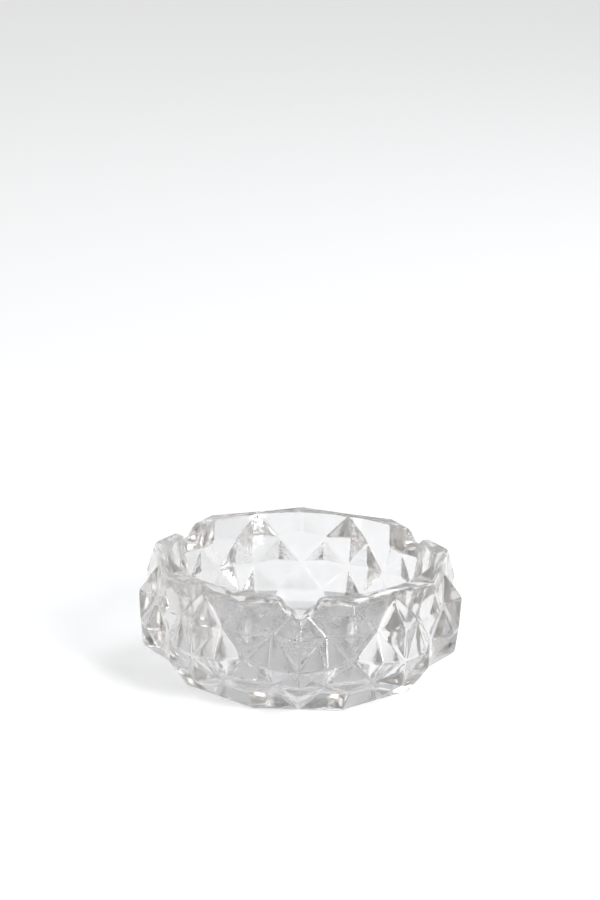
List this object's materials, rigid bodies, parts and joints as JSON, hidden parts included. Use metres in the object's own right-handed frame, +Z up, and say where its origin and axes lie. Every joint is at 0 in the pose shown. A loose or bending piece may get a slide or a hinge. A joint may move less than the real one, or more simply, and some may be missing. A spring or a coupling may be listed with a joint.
{
  "type": "dappen dish",
  "caption": "Heavy round clear-glass dish with a diamond-studded wall, rests cut in its rim, a smooth tapering well and a sunburst under the floor.",
  "frame": {"origin": "on the dish's axis, in the plane of the foot ring that it stands on", "axes": "+Z up along the dish's axis, -Y towards the rim rest that faces the front, +X to the right seen from the front"},
  "size_m": [0.0986, 0.0984, 0.037],
  "materials": {
    "clear_glass": "clear, fire-polished, pressed facets"
  },
  "bodies": {
    "root": {"glass_dish": "clear_glass"}
  },
  "joints": []
}
